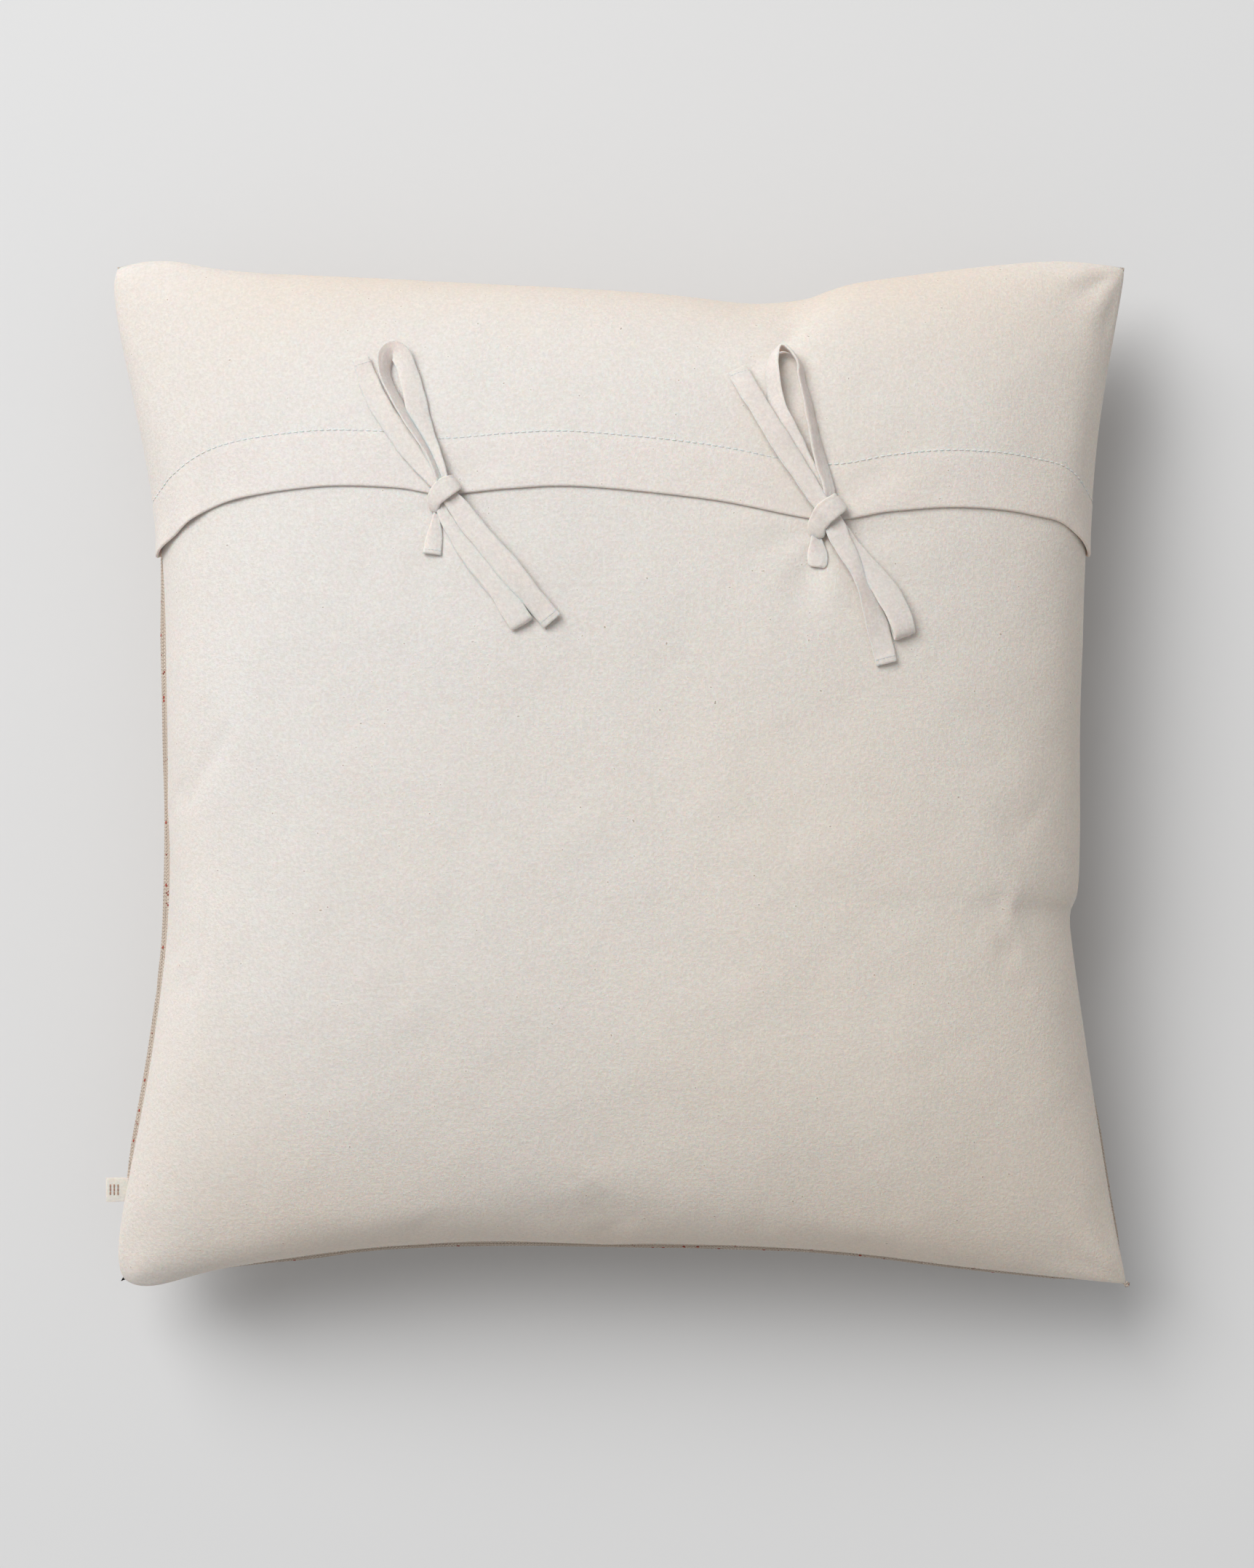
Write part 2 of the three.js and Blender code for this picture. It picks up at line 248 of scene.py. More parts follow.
canvas = cotton("canvas", CREAM_WARM, CREAM_COOL)
tie_cloth = cotton("tie_cloth", (0.80, 0.735, 0.68), (0.80, 0.75, 0.71), 0.2 * MM, 0.0)
print("canvas nodes", len(canvas.node_tree.nodes))

# %% [markdown]
# ## The front's beaded weave
#
# The front lies on the floor, and only a narrow strip of it shows round the edge. It is a heavier cloth,
# set close with short raised floats like rows of seeds, cream with an odd one in madder red. The floats are
# brick-laid, so each second row is shifted by half a float, and the row and the float come from a formula
# on the object's own coordinates.

# %% The front weave, label tape, case cotton, fibre and thread
FLOAT_PITCH = 2.0 * MM
MADDER = (0.33, 0.06, 0.045)


def beaded(name):
    finish = Finish(name, 0.95, Sheen_Weight=0.1, Specular_IOR_Level=0.15)
    where = finish.place()
    turns = 2 * math.pi / FLOAT_PITCH
    split = finish.node("ShaderNodeSeparateXYZ", {}, [where])
    along, up, deep = (Wire(finish, split.socket.node.outputs[k]) for k in range(3))

    def wave(value):
        return finish.node("ShaderNodeMath", {"operation": "SINE"}, [value * turns])

    seeds = finish.ramp(wave(along) * wave(up) + 0.5 * wave(deep), -0.2, 0.9)
    rare = finish.noise(finish.stretched(where, 330, 330, 330), 1, 0) > 0.735
    ground = finish.mix(finish.noise(where, 30, 2), (0.70, 0.60, 0.50), (0.76, 0.67, 0.58))
    raised = finish.mix(seeds, finish.mix(0.55, ground, (0.42, 0.33, 0.26)), ground)
    finish.give("Base Color", finish.mix(rare * seeds, raised, MADDER))
    finish.bump(seeds + 0.3 * finish.noise(where, 900, 2), 0.5 * MM)
    return finish.material


front_weave = beaded("front_weave")
case_cotton = cotton("case_cotton", (0.86, 0.85, 0.82), (0.88, 0.87, 0.85), 0.06 * MM, 0.0)
label_tape = cotton("label_tape", (0.87, 0.74, 0.67), (0.89, 0.78, 0.71), 0.05 * MM, 0.0)
thread = cotton("thread", (0.86, 0.82, 0.77), (0.88, 0.84, 0.80), 0.02 * MM, 0.0)

wool = Finish("fibre", 1.0, Sheen_Weight=0.4, Subsurface_Weight=0.0)
tangle = wool.noise(wool.place(), 160, 5, 0.7)
wool.give("Base Color", wool.mix(tangle, (0.82, 0.82, 0.82), (0.95, 0.95, 0.94)))
wool.bump(tangle, 1.5 * MM)
fibre = wool.material
print("finishes", [m.name for m in bpy.data.materials][-7:])

# %% [markdown]
# ## The cushion's form
#
# A filled square cushion is drawn in along its sides, because the cloth has to go over the crown, and its
# corners stay out. Each side's line goes through only the places that its shape needs: the corners, the
# shoulders, the draw between them and the small gathers. The form is worked out over the flat cloth: s and
# t run from -1 at one seam to 1 at the other, across and along. A table spreads them evenly over the curve
# of the crown, so that a step on the cloth is about the same step on the surface. The flat belly is where
# the front rests on the floor.

# %% Small helpers
def lerp(a, b, share):
    return a + (b - a) * share


def smooth(value):
    share = np.clip(value, 0, 1)
    return share * share * (3 - 2 * share)


def hump(value, at, spread):
    return np.exp(-(((value - at) / spread) ** 2))


def cubic(points, steps):
    """A smooth line through a few points, with so many steps between each two."""
    points = np.asarray(points, float)
    ends = np.concatenate([[2 * points[0] - points[1]], points, [2 * points[-1] - points[-2]]])
    p0, p1, p2, p3 = (ends[k : len(ends) - 3 + k, None] for k in range(4))
    x = (np.arange(steps) / steps)[None, :, None]
    line = 0.5 * (2 * p1 + (p2 - p0) * x + (2 * p0 - 5 * p1 + 4 * p2 - p3) * x**2)
    line = line + 0.5 * (3 * (p1 - p2) + p3 - p0) * x**3
    return np.concatenate([line.reshape(-1, points.shape[1]), points[-1:]])


def unit(vectors):
    return vectors / np.maximum(np.linalg.norm(vectors, axis=-1, keepdims=True), 1e-12)


# %% Outline: the four sides and the corners
front_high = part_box("front_panel")[1]
HALF_WIDTH = front_high.x
HALF_LENGTH = front_high.y
CORNER_INSET, CORNER_REACH = 0.003, 60  # each corner is rounded off by this share, within a short reach
SOFT_CORNER_INSET, SOFT_CORNER_REACH = 0.014, 26  # the corner at the lower left is rounder

# The seam's line in plan: on each side, a place along it and how far out the seam is there, in millimetres.
TOP_LINE = [
    (-295, 293), (-260, 296), (-200, 288), (0, 276), (88, 270), (140, 282), (240, 295), (295, 293),
]
RIGHT_LINE = [
    (-297, 296), (-240, 284), (-150, 269), (-84, 260), (-55, 264), (60, 266), (180, 273), (297, 293),
]
BOTTOM_LINE = [
    (-295, 296), (-270, 298), (-220, 286), (-130, 273), (-40, 270), (100, 274), (200, 286), (296, 298),
]
LEFT_LINE = [
    (-298, 292), (-260, 290), (-150, 269), (-68, 260), (50, 261), (150, 267), (265, 290), (297, 291),
]


def line_out(line, place):
    """How far out a side's line is at a place along it."""
    along, out = cubic(line, 16).T * MM
    return np.interp(place, along, out)


def outline(u, v):
    """Plan position of u, v, each from -1 to 1 across and along the cushion."""
    along_x = u * HALF_WIDTH
    along_y = v * HALF_LENGTH
    x = lerp(-line_out(LEFT_LINE, along_y), line_out(RIGHT_LINE, along_y), (u + 1) / 2)
    y = lerp(-line_out(BOTTOM_LINE, along_x), line_out(TOP_LINE, along_x), (v + 1) / 2)
    in_corner = np.abs(u * v)
    soft = (u < 0) & (v < 0)
    rounded = np.where(soft, SOFT_CORNER_INSET, CORNER_INSET)
    rounded = 1 - rounded * in_corner ** np.where(soft, SOFT_CORNER_REACH, CORNER_REACH)
    return x * rounded, y * rounded


# %% Section: the crown and the belly
MIDDLE_SEAM_HEIGHT = 84 * MM
CORNER_SEAM_HEIGHT = 66 * MM
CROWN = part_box("back_lower_panel")[1].z - MIDDLE_SEAM_HEIGHT
BELLY = 104 * MM
FULLNESS = 2.6
BACK, FRONT = 1, -1
BULGE = {BACK: CROWN, FRONT: -BELLY}


def full(u, v):
    across = np.maximum(0, 1 - np.abs(u) ** FULLNESS)
    return np.sqrt(across * np.maximum(0, 1 - np.abs(v) ** FULLNESS))


def height(u, v, side):
    seam = lerp(MIDDLE_SEAM_HEIGHT, CORNER_SEAM_HEIGHT, u**2 * v**2)
    return np.maximum(0, seam + BULGE[side] * full(u, v))


def even_steps(side):
    """u at even steps of cloth over the middle of the cushion."""
    u = np.sin(np.linspace(-1, 1, 801) * math.pi / 2)
    z = height(u, 0 * u, side)
    along = np.cumsum(np.hypot(np.diff(u * HALF_WIDTH, prepend=-HALF_WIDTH), np.diff(z, prepend=z[0])))
    return 2 * along / along[-1] - 1, u


EVEN = {side: even_steps(side) for side in (BACK, FRONT)}


def form(s, t, side, depth=0.0):
    """The cushion's face over the flat cloth, drawn in by a depth."""
    even_s = np.interp(s, *EVEN[side])
    even_t = np.interp(t, *EVEN[side])
    u = lerp(s, even_s, np.sqrt(1 - np.abs(t) ** FULLNESS))
    v = lerp(t, even_t, np.sqrt(1 - np.abs(s) ** FULLNESS))
    x, y = outline(u, v)
    seam = lerp(MIDDLE_SEAM_HEIGHT, CORNER_SEAM_HEIGHT, u**2 * v**2)
    inward = 1 - depth / HALF_WIDTH
    z = seam + (height(u, v, side) - seam) * (1 - depth / MIDDLE_SEAM_HEIGHT)
    return np.stack([x * inward, y * inward, z], -1)


def square(places):
    return np.meshgrid(places, places, indexing="ij")


crown_arc = form(*square(np.linspace(-1, 1, 41)), BACK)
print("crown", round(float(crown_arc[..., 2].max()), 4), "m high")

# %% [markdown]
# ## Filling the cover
#
# The folds near the seams come from the cloth itself, so they are simulated. Both faces start as the form,
# sewn together round the seam and cut a little large. A pressure blows the cover out, and the spare cloth
# along the seams and in the corners buckles into folds. The part that rests on the floor is pinned. Only
# the folds are kept: the slow drift of the whole shape is taken out again, so that the cushion keeps its
# outline, and no fold is taller than a cap.

# %% The cloth simulation
FLAT_SIDE = 0.596  # of the cover's cloth from seam to seam, before it is filled
SIM_CELLS = 88
SIM_FRAMES = 20
PRESSURE = 1.0
SPARE_CLOTH = 0.004
FOLD_CAP = 3 * MM
FOLD_SHARE = 0.6
DRIFT_SPREAD = 30 * MM


def quads(index):
    corners = [index[:-1, :-1], index[1:, :-1], index[1:, 1:], index[:-1, 1:]]
    return np.stack(corners, -1).reshape(-1, 4)


def inflate(back, front):
    """Blows up the sewn cover and returns its two faces."""
    cells = len(back)
    over = np.arange(cells * cells).reshape(cells, cells)
    under = over.copy()
    under[1:-1, 1:-1] = cells * cells + np.arange((cells - 2) ** 2).reshape(cells - 2, cells - 2)
    points = np.concatenate([back.reshape(-1, 3), front[1:-1, 1:-1].reshape(-1, 3)])
    mesh = bpy.data.meshes.new("cover_cloth")
    mesh.from_pydata(points.tolist(), [], np.concatenate([quads(over), quads(under)[:, ::-1]]).tolist())
    cover_cloth = bpy.data.objects.new("cover_cloth", mesh)
    bpy.context.scene.collection.objects.link(cover_cloth)
    resting = cover_cloth.vertex_groups.new(name="resting")
    resting.add([int(i) for i in np.flatnonzero(points[:, 2] < 0.2 * MM)], 1, "REPLACE")
    cloth = cover_cloth.modifiers.new("cloth", "CLOTH")
    settings = {
        "quality": 5, "mass": 0.15, "tension_stiffness": 30, "compression_stiffness": 30,
        "shear_stiffness": 10, "bending_stiffness": 0.3, "air_damping": 4, "use_pressure": True,
        "uniform_pressure_force": PRESSURE, "shrink_min": -SPARE_CLOTH, "vertex_group_mass": "resting",
    }
    for name, value in settings.items():
        setattr(cloth.settings, name, value)
    cloth.settings.effector_weights.gravity = 0
    cloth.collision_settings.use_collision = False
    cloth.point_cache.frame_end = SIM_FRAMES
    scene = bpy.context.scene
    for step in range(1, SIM_FRAMES + 1):
        scene.frame_set(step)
    blown = cover_cloth.evaluated_get(bpy.context.evaluated_depsgraph_get())
    moved = np.zeros(len(points) * 3, np.float32)
    blown.data.vertices.foreach_get("co", moved)
    moved = moved.reshape(-1, 3).astype(float)
    scene.frame_set(1)
    bpy.data.objects.remove(cover_cloth)
    return moved[over], moved[under]


def averaging(count, spread):
    """A matrix that averages a row of evenly spaced values with their neighbours."""
    apart = (np.arange(count)[:, None] - np.arange(count)[None]) * FLAT_SIDE / (count - 1)
    weights = np.exp(-((apart / spread) ** 2))
    return weights / weights.sum(1, keepdims=True)


def along_both(matrix, field):
    return np.einsum("ia,jb,abk->ijk", matrix, matrix, field, optimize=True)


sim_places = np.linspace(-1, 1, SIM_CELLS + 1)
sim_form = {side: form(*square(sim_places), side) for side in (BACK, FRONT)}
folds = {side: np.zeros_like(sim_form[side]) for side in (BACK, FRONT)}
blown_faces = inflate(sim_form[BACK], sim_form[FRONT])
even_out = averaging(SIM_CELLS + 1, DRIFT_SPREAD)
for side, blown_face in zip((BACK, FRONT), blown_faces):
    moved_by = blown_face - sim_form[side]
    print("side", side, "moved by", round(float(np.abs(moved_by).max()) / MM, 1), "mm at most")
    fold = (moved_by - along_both(even_out, moved_by)) * FOLD_SHARE
    length = np.linalg.norm(fold, axis=-1, keepdims=True)
    folds[side] = fold * np.minimum(1, FOLD_CAP / np.maximum(length, 1e-9))
shared = np.ones((SIM_CELLS + 1, SIM_CELLS + 1, 1), bool)
shared[1:-1, 1:-1] = False
seam_fold = (folds[BACK] + folds[FRONT]) / 2
for side in (BACK, FRONT):
    folds[side] = np.where(shared, seam_fold, folds[side])
print("folds up to", round(float(np.abs(folds[BACK]).max()) / MM, 1), "mm")

# %% [markdown]
# ## From the coarse cloth to the fine one
#
# The folds are spread over a finer grid with cubic steps, which is what one level of subdivision does. The
# fine grid is closest along the seam, where the two faces turn in sharply to meet. On top of the folds the
# back has the soft hollows and swellings of loose filling. They are smooth noise, made by blurring seeded
# random numbers, so they are the same at every run.

# %% Fine grid and soft unevenness
EDGE_ROWS = [0, 0.8, 1.7, 2.8, 4.2, 6.0, 8.0]
FINE_CELLS = 190


def fine_places():
    inset = np.array(EDGE_ROWS) * MM / (FLAT_SIDE / 2)
    middle = np.linspace(-1 + inset[-1], 1 - inset[-1], FINE_CELLS)
    return np.concatenate([-1 + inset[:-1], middle, 1 - inset[:-1][::-1]])


def cubic_matrix(places):
    """Weights that read an evenly spaced row at other places, with cubic steps."""
    at = (places + 1) / 2 * SIM_CELLS
    first = np.clip(np.floor(at).astype(int), 0, SIM_CELLS - 1)
    x = at - first
    weights = [-x / 2 + x**2 - x**3 / 2, 1 - 2.5 * x**2 + 1.5 * x**3]
    weights += [x / 2 + 2 * x**2 - 1.5 * x**3, -(x**2) / 2 + x**3 / 2]
    matrix = np.zeros((len(places), SIM_CELLS + 1))
    for k, weight in enumerate(weights):
        np.add.at(matrix, (np.arange(len(places)), np.clip(first + k - 1, 0, SIM_CELLS)), weight)
    return matrix


places = fine_places()
fine_s, fine_t = square(places)
finer = cubic_matrix(places)
from_left = (fine_s + 1) * FLAT_SIDE / 2
from_right = (1 - fine_s) * FLAT_SIDE / 2
from_bottom = (fine_t + 1) * FLAT_SIDE / 2
from_top = (1 - fine_t) * FLAT_SIDE / 2
from_seam = np.minimum(np.minimum(from_left, from_right), np.minimum(from_bottom, from_top))


def uneven(seed, spread):
    """Smooth noise over the fine grid, with swellings of about one spread and a strength of 1."""
    rough = np.random.default_rng(seed).standard_normal((SIM_CELLS + 1, SIM_CELLS + 1, 1))
    even = along_both(averaging(SIM_CELLS + 1, spread), rough)
    field = along_both(finer, even)[..., 0]
    return field / field.std()


def normals(grid):
    """Unit normals of a grid of points whose rows run along X and columns along Y."""
    return unit(np.cross(np.gradient(grid, axis=0), np.gradient(grid, axis=1)))


print("fine grid", fine_s.shape, "closest rows", EDGE_ROWS[1], "mm apart")

# %% [markdown]
# ## The back's surface
#
# Where the ties are sewn on, the bows pull the cloth down and together, which leaves a shallow hollow with
# soft folds running out from it. Near the corners the cloth is gathered by the seam and short folds run in
# from there. All of that is added along the surface's normal.

# %% The back's outer face
KNOTS = {hand: (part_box(f"{hand}_knot")[0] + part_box(f"{hand}_knot")[1]) / 2 for hand in ("left", "right")}
SLIPPED = {"left": (2.5, -2.5), "right": (-2.6, -3.0)}  # each knot has slipped a little, in millimetres
for hand, (across, along) in SLIPPED.items():
    KNOTS[hand].x += across * MM
    KNOTS[hand].y += along * MM
SEAM_PINCH = 1.5 * MM
SEAM_PINCH_SPREAD = 2.2 * MM

# Pull of each bow: depth of its hollow, reach, strength of the folds round it.
PULL = {"left": (2.0 * MM, 34 * MM, 0.35 * MM), "right": (3.2 * MM, 40 * MM, 0.8 * MM)}
CORNER_FOLDS = [(1, 1, 1.2 * MM, 11), (1, -1, 1.0 * MM, 9), (-1, 1, 0.6 * MM, 8), (-1, -1, 0.6 * MM, 7)]


def pulled(x, y):
    """How far the bows draw the back down at x, y."""
    total = 0 * x
    for hand, (depth, reach, strength) in PULL.items():
        knot = KNOTS[hand]
        away = np.hypot(x - knot.x, y - knot.y + 6 * MM)
        around = np.arctan2(y - knot.y + 6 * MM, x - knot.x)
        rays = np.cos(7 * around + 0.6) + 0.6 * np.cos(4 * around + 2.0)
        below = 0.65 - 0.35 * np.sin(around)
        total = total + depth * hump(away, 0, reach)
        total = total + strength * rays * below * hump(away, 0.75 * reach, 0.55 * reach)
    return total


def corner_folds(s, t):
    total = 0 * s
    for side_s, side_t, strength, count in CORNER_FOLDS:
        across = (1 - s * side_s) * FLAT_SIDE / 2
        along = (1 - t * side_t) * FLAT_SIDE / 2
        away = np.hypot(across, along)
        around = np.arctan2(across, along)
        total = total + strength * np.cos(count * around) * hump(away, 34 * MM, 26 * MM)
    return total


back_form = form(fine_s, fine_t, BACK) + along_both(finer, folds[BACK])
back_normal = normals(back_form)
fade = smooth(from_seam / (18 * MM))
swell = fade * (0.32 * uneven(3, 30 * MM) + 0.13 * uneven(4, 13 * MM) + 0.09 * uneven(5, 8 * MM)) * MM
swell = swell + fade * corner_folds(fine_s, fine_t)
swell = swell - pulled(back_form[..., 0], back_form[..., 1]) * fade
swell = swell - SEAM_PINCH * np.exp(-from_seam / SEAM_PINCH_SPREAD)
back_face = back_form + back_normal * swell[..., None]
print("back face", back_face.shape, "top at", round(float(back_face[..., 2].max()), 4))

# %% [markdown]
# ## Meshes from grids
#
# Every panel is a sheet of cloth with a thickness: an outer grid, an inner grid and a rim between them.
# One function makes such a shell, and one wraps up what each piece needs: its finish, the CAD body that it
# moves with and the CAD nodes that it stands for.

# %% Making pieces
def rim(over, under):
    """Faces between the borders of two index grids."""
    borders = [np.concatenate([g[:-1, 0], g[-1, :-1], g[:0:-1, -1], g[0, :0:-1]]) for g in (over, under)]
    outer, inner = borders
    return np.stack([np.roll(outer, -1), outer, inner, np.roll(inner, -1)], -1)


def shell(outer, inner):
    """Points and faces of a closed sheet. Its outer grid has rows along X and columns along Y."""
    over = np.arange(outer.shape[0] * outer.shape[1]).reshape(outer.shape[:2])
    under = over + over.size
    faces = np.concatenate([quads(over), quads(under)[:, ::-1], rim(over, under)])
    return np.concatenate([outer.reshape(-1, 3), inner.reshape(-1, 3)]), faces


def piece(name, points, faces, finish, body, slot, stands_for=()):
    mesh = bpy.data.meshes.new(name)
    mesh.from_pydata(np.asarray(points).tolist(), [], np.asarray(faces).tolist())
    mesh.materials.append(finish)
    mesh.polygons.foreach_set("use_smooth", [True] * len(mesh.polygons))
    made = bpy.data.objects.new(name, mesh)
    bpy.context.scene.collection.objects.link(made)
    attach(made, body)
    if stands_for:
        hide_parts(*stands_for)
    print(f"{name}: {len(points)} points, {len(faces)} faces")
    return made


# %% [markdown]
# ## The lower back panel
#
# The plain panel reaches from the bottom seam up under the flap. Its outer face is the back's surface, as
# far as the underlap goes, and its inner face lies a cloth's thickness inside.

# %% Lower back panel
CLOTH = 1.6 * MM
PANEL_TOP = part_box("back_lower_panel")[1].y


def offset(grid, by):
    return grid + normals(grid) * by


under_flap = back_face[:, : int(np.searchsorted(back_face[len(places) // 2, :, 1], PANEL_TOP))]
lower_panel = piece(
    "back_lower_panel_cloth", *shell(under_flap, offset(under_flap, -CLOTH)),
    canvas, "cover", "canvas", ["back_lower_panel"],
)

# %% [markdown]
# ## The flap
#
# The flap is the same cloth, sewn into the top seam and both side seams, with a deep hem along its free
# edge. It lies on the lower panel with a little air between them. Its edge is a soft fold, so the mesh
# turns round it in a half circle. The edge line is given through a few points: nearly level over
# the crown, drawn down a little at each bow, and falling away to the side seams.

# %% The flap's free edge
HEM = 31 * MM
FLAP_GAP = 0.45 * MM
HEM_CLOTH = 2.0 * MM
EDGE_LINE = [  # plan places along the free edge, in millimetres
    (-290, 96), (-260, 126), (-225, 150), (-170, 159), (-125, 158), (-97, 154), (-60, 157), (-20, 158),
    (50, 151), (112, 140), (150, 145), (190, 148), (230, 145), (258, 135), (290, 90),
]
edge_x, edge_y = (cubic(EDGE_LINE, 12) * MM).T


def edge_place(column_points):
    """t at which a column of the back's surface crosses the free edge."""
    above = column_points[:, 1] - np.interp(column_points[:, 0], edge_x, edge_y)
    return np.interp(0, above, places)


edge_t = np.array([edge_place(column) for column in back_face])
print("free edge from t", round(float(edge_t.min()), 3), "to", round(float(edge_t.max()), 3))

# %% Sampling a face between its grid points
def sample(grid, s, t):
    """A grid's value at s, t by straight steps between its points."""
    i = np.clip(np.searchsorted(places, s) - 1, 0, len(places) - 2)
    j = np.clip(np.searchsorted(places, t) - 1, 0, len(places) - 2)
    a = ((s - places[i]) / (places[i + 1] - places[i]))[..., None]
    b = ((t - places[j]) / (places[j + 1] - places[j]))[..., None]
    low = lerp(grid[i, j], grid[i + 1, j], a)
    high = lerp(grid[i, j + 1], grid[i + 1, j + 1], a)
    return lerp(low, high, b)


# %% The flap's cloth
LIFTS = [(-258, 6, 2.6), (-240, 7, 2.0), (-214, 9, 1.0), (262, 5, 1.2)]  # x, spread, height in mm
EDGE_TURN_STEPS = 6
FLAP_ROWS = 70


def flap_grid():
    """Cloth places of the flap, by distance from its free edge."""
    radius = 1.3 * MM
    turn = radius * (1 - np.cos(np.linspace(0, math.pi / 2, EDGE_TURN_STEPS)))
    rows = np.concatenate([turn[:-1], np.linspace(radius, 1, FLAP_ROWS)])
    spare = (1 - edge_t) * FLAT_SIDE / 2
    away = np.where(rows[None] < radius, rows[None], radius + (spare[:, None] - radius)
                    * ((rows[None] - radius) / (1 - radius)))
    return away, edge_t[:, None] + away / (FLAT_SIDE / 2)


flap_away, flap_t = flap_grid()
flap_s = np.broadcast_to(places[:, None], flap_t.shape)
bed = sample(back_face, flap_s, flap_t.clip(-1, 1))
bed_normal = unit(sample(normals(back_face), flap_s, flap_t.clip(-1, 1)))
flap_side = np.minimum(flap_s + 1, 1 - flap_s) * FLAT_SIDE / 2
flap_top = (1 - flap_t) * FLAT_SIDE / 2
in_hem = smooth((HEM + 1.5 * MM - flap_away) / (1.5 * MM))
seam_close = smooth(np.minimum(flap_top, flap_side + 8 * MM) / (16 * MM))
gap = FLAP_GAP * seam_close
for at, spread, rise in LIFTS:
    gap = gap + rise * MM * hump(bed[..., 0], at * MM, spread * MM) * np.exp(-flap_away / (10 * MM))
thickness = lerp(CLOTH, HEM_CLOTH, in_hem) - 0.45 * MM * hump(flap_away, HEM, 1.3 * MM)
round_edge = np.sqrt(np.clip(1 - (1 - flap_away / (1.3 * MM)).clip(0) ** 2, 0, 1))
middle = gap + thickness / 2
flap_outer = bed + bed_normal * (middle + thickness / 2 * round_edge)[..., None]
flap_inner = bed + bed_normal * (middle - thickness / 2 * round_edge)[..., None]
flap = piece(
    "back_flap_cloth", *shell(flap_outer, flap_inner), canvas, "cover", "canvas", ["back_flap"],
)

# %% [markdown]
# ## The front panel
#
# The front is drawn round from the seam down to the floor. Just under the seam its heavier cloth rolls out
# a few millimetres past the back on the left and at the bottom, which is the strip of it that shows.

# %% Front panel
ROLL_DEPTH = 9 * MM
ROLL_LEFT = 4.6 * MM
ROLL_BOTTOM = 3.6 * MM
ROLL_RIGHT = 3.0 * MM


def roll_out(distance):
    return distance / ROLL_DEPTH * np.exp(1 - distance / ROLL_DEPTH)


front_form = form(fine_s, fine_t, FRONT) + along_both(finer, folds[FRONT])
left_stretch = smooth((fine_t + 0.92) / 0.25) * smooth((0.55 - fine_t) / 0.3)
bottom_stretch = smooth((fine_s + 0.9) / 0.3) * smooth((0.97 - fine_s) / 0.15)
right_stretch = smooth((fine_t + 0.97) / 0.1) * smooth((-0.5 - fine_t) / 0.2)
front_form[..., 0] -= ROLL_LEFT * left_stretch * roll_out(from_left)
front_form[..., 1] -= ROLL_BOTTOM * bottom_stretch * roll_out(from_bottom)
front_form[..., 0] += ROLL_RIGHT * right_stretch * roll_out(from_right)
front_out = -normals(front_form)
front_swell = fade * 0.5 * MM * uneven(8, 18 * MM) * (front_form[..., 2] > 4 * MM)
front_swell = front_swell - SEAM_PINCH * np.exp(-from_seam / SEAM_PINCH_SPREAD)
front_face = front_form + front_out * front_swell[..., None]
front_face[..., 2] = np.maximum(front_face[..., 2], 0)
front_inner = front_face + normals(front_face) * CLOTH
front_points, front_faces = shell(front_face, front_inner)
front_panel = piece(
    "front_panel_cloth", front_points, front_faces[:, ::-1], front_weave, "cover", "front_weave",
    ["front_panel"],
)

# %% [markdown]
# ## Stitches
#
# A stitch is a short rounded length of thread lying in the cloth. One function lays a row of them along a
# line: it walks the line at an even pitch, and at each place puts a small capsule along the line's
# direction, half sunk. The row along the flap's hem is in a slightly paler thread than the cloth.

# %% Rows of stitches
CAPSULE = [(-1.0, 0.0), (-0.86, 0.75), (-0.4, 1.0), (0.4, 1.0), (0.86, 0.75), (1.0, 0.0)]
CAPSULE_SIDES = 6


def along_line(line, pitch):
    """Places, directions and index shares at an even pitch along a line."""
    steps = np.linalg.norm(np.diff(line, axis=0), axis=1)
    reach = np.concatenate([[0], np.cumsum(steps)])
    marks = np.arange(pitch / 2, reach[-1], pitch)
    at = np.interp(marks, reach, np.arange(len(line)))
    read = [np.stack([np.interp(at + d, np.arange(len(line)), line[:, k]) for k in range(3)], -1)
            for d in (0, -0.3, 0.3)]
    return read[0], unit(read[2] - read[1]), at


def capsules(centres, ways, ups, length, radius, flat=1.0):
    """Points and faces of a small capsule at each place."""
    sides = unit(np.cross(ways, ups))
    rings = []
    for along, wide in CAPSULE:
        for k in range(CAPSULE_SIDES):
            turn = 2 * math.pi * k / CAPSULE_SIDES
            rings.append(centres + ways * along * length / 2 + sides * wide * radius * math.cos(turn)
                         + ups * wide * radius * flat * math.sin(turn))
    points = np.stack(rings, 1)
    ring = np.arange(len(rings)).reshape(len(CAPSULE), CAPSULE_SIDES)
    one = quads(np.concatenate([ring, ring[:, :1]], 1))
    faces = one[None] + (np.arange(len(centres)) * len(rings))[:, None, None]
    return points.reshape(-1, 3), faces.reshape(-1, 4)


# %% The hem's stitches
HEM_PITCH = 3.8 * MM
hem_row = int(np.searchsorted(flap_away[len(places) // 2], HEM))
share = (HEM - flap_away[:, hem_row - 1]) / (flap_away[:, hem_row] - flap_away[:, hem_row - 1])
hem_line = lerp(flap_outer[:, hem_row - 1], flap_outer[:, hem_row], share[:, None])
hem_up = unit(bed_normal[:, hem_row])
hem_at, hem_way, hem_index = along_line(hem_line[6:-6], HEM_PITCH)
hem_ups = hem_up[6:-6][hem_index.astype(int)]
piece(
    "flap_hem_stitches", *capsules(hem_at + hem_ups * 0.22 * MM, hem_way, hem_ups, 2.7 * MM, 0.42 * MM),
    thread, "cover", "canvas",
)

# %% [markdown]
# ## The front's raised floats
#
# Where the front's edge shows, its seed-like floats stand up from the cloth, so two rows of them are real
# geometry all round, just under the seam. An odd one is madder red.

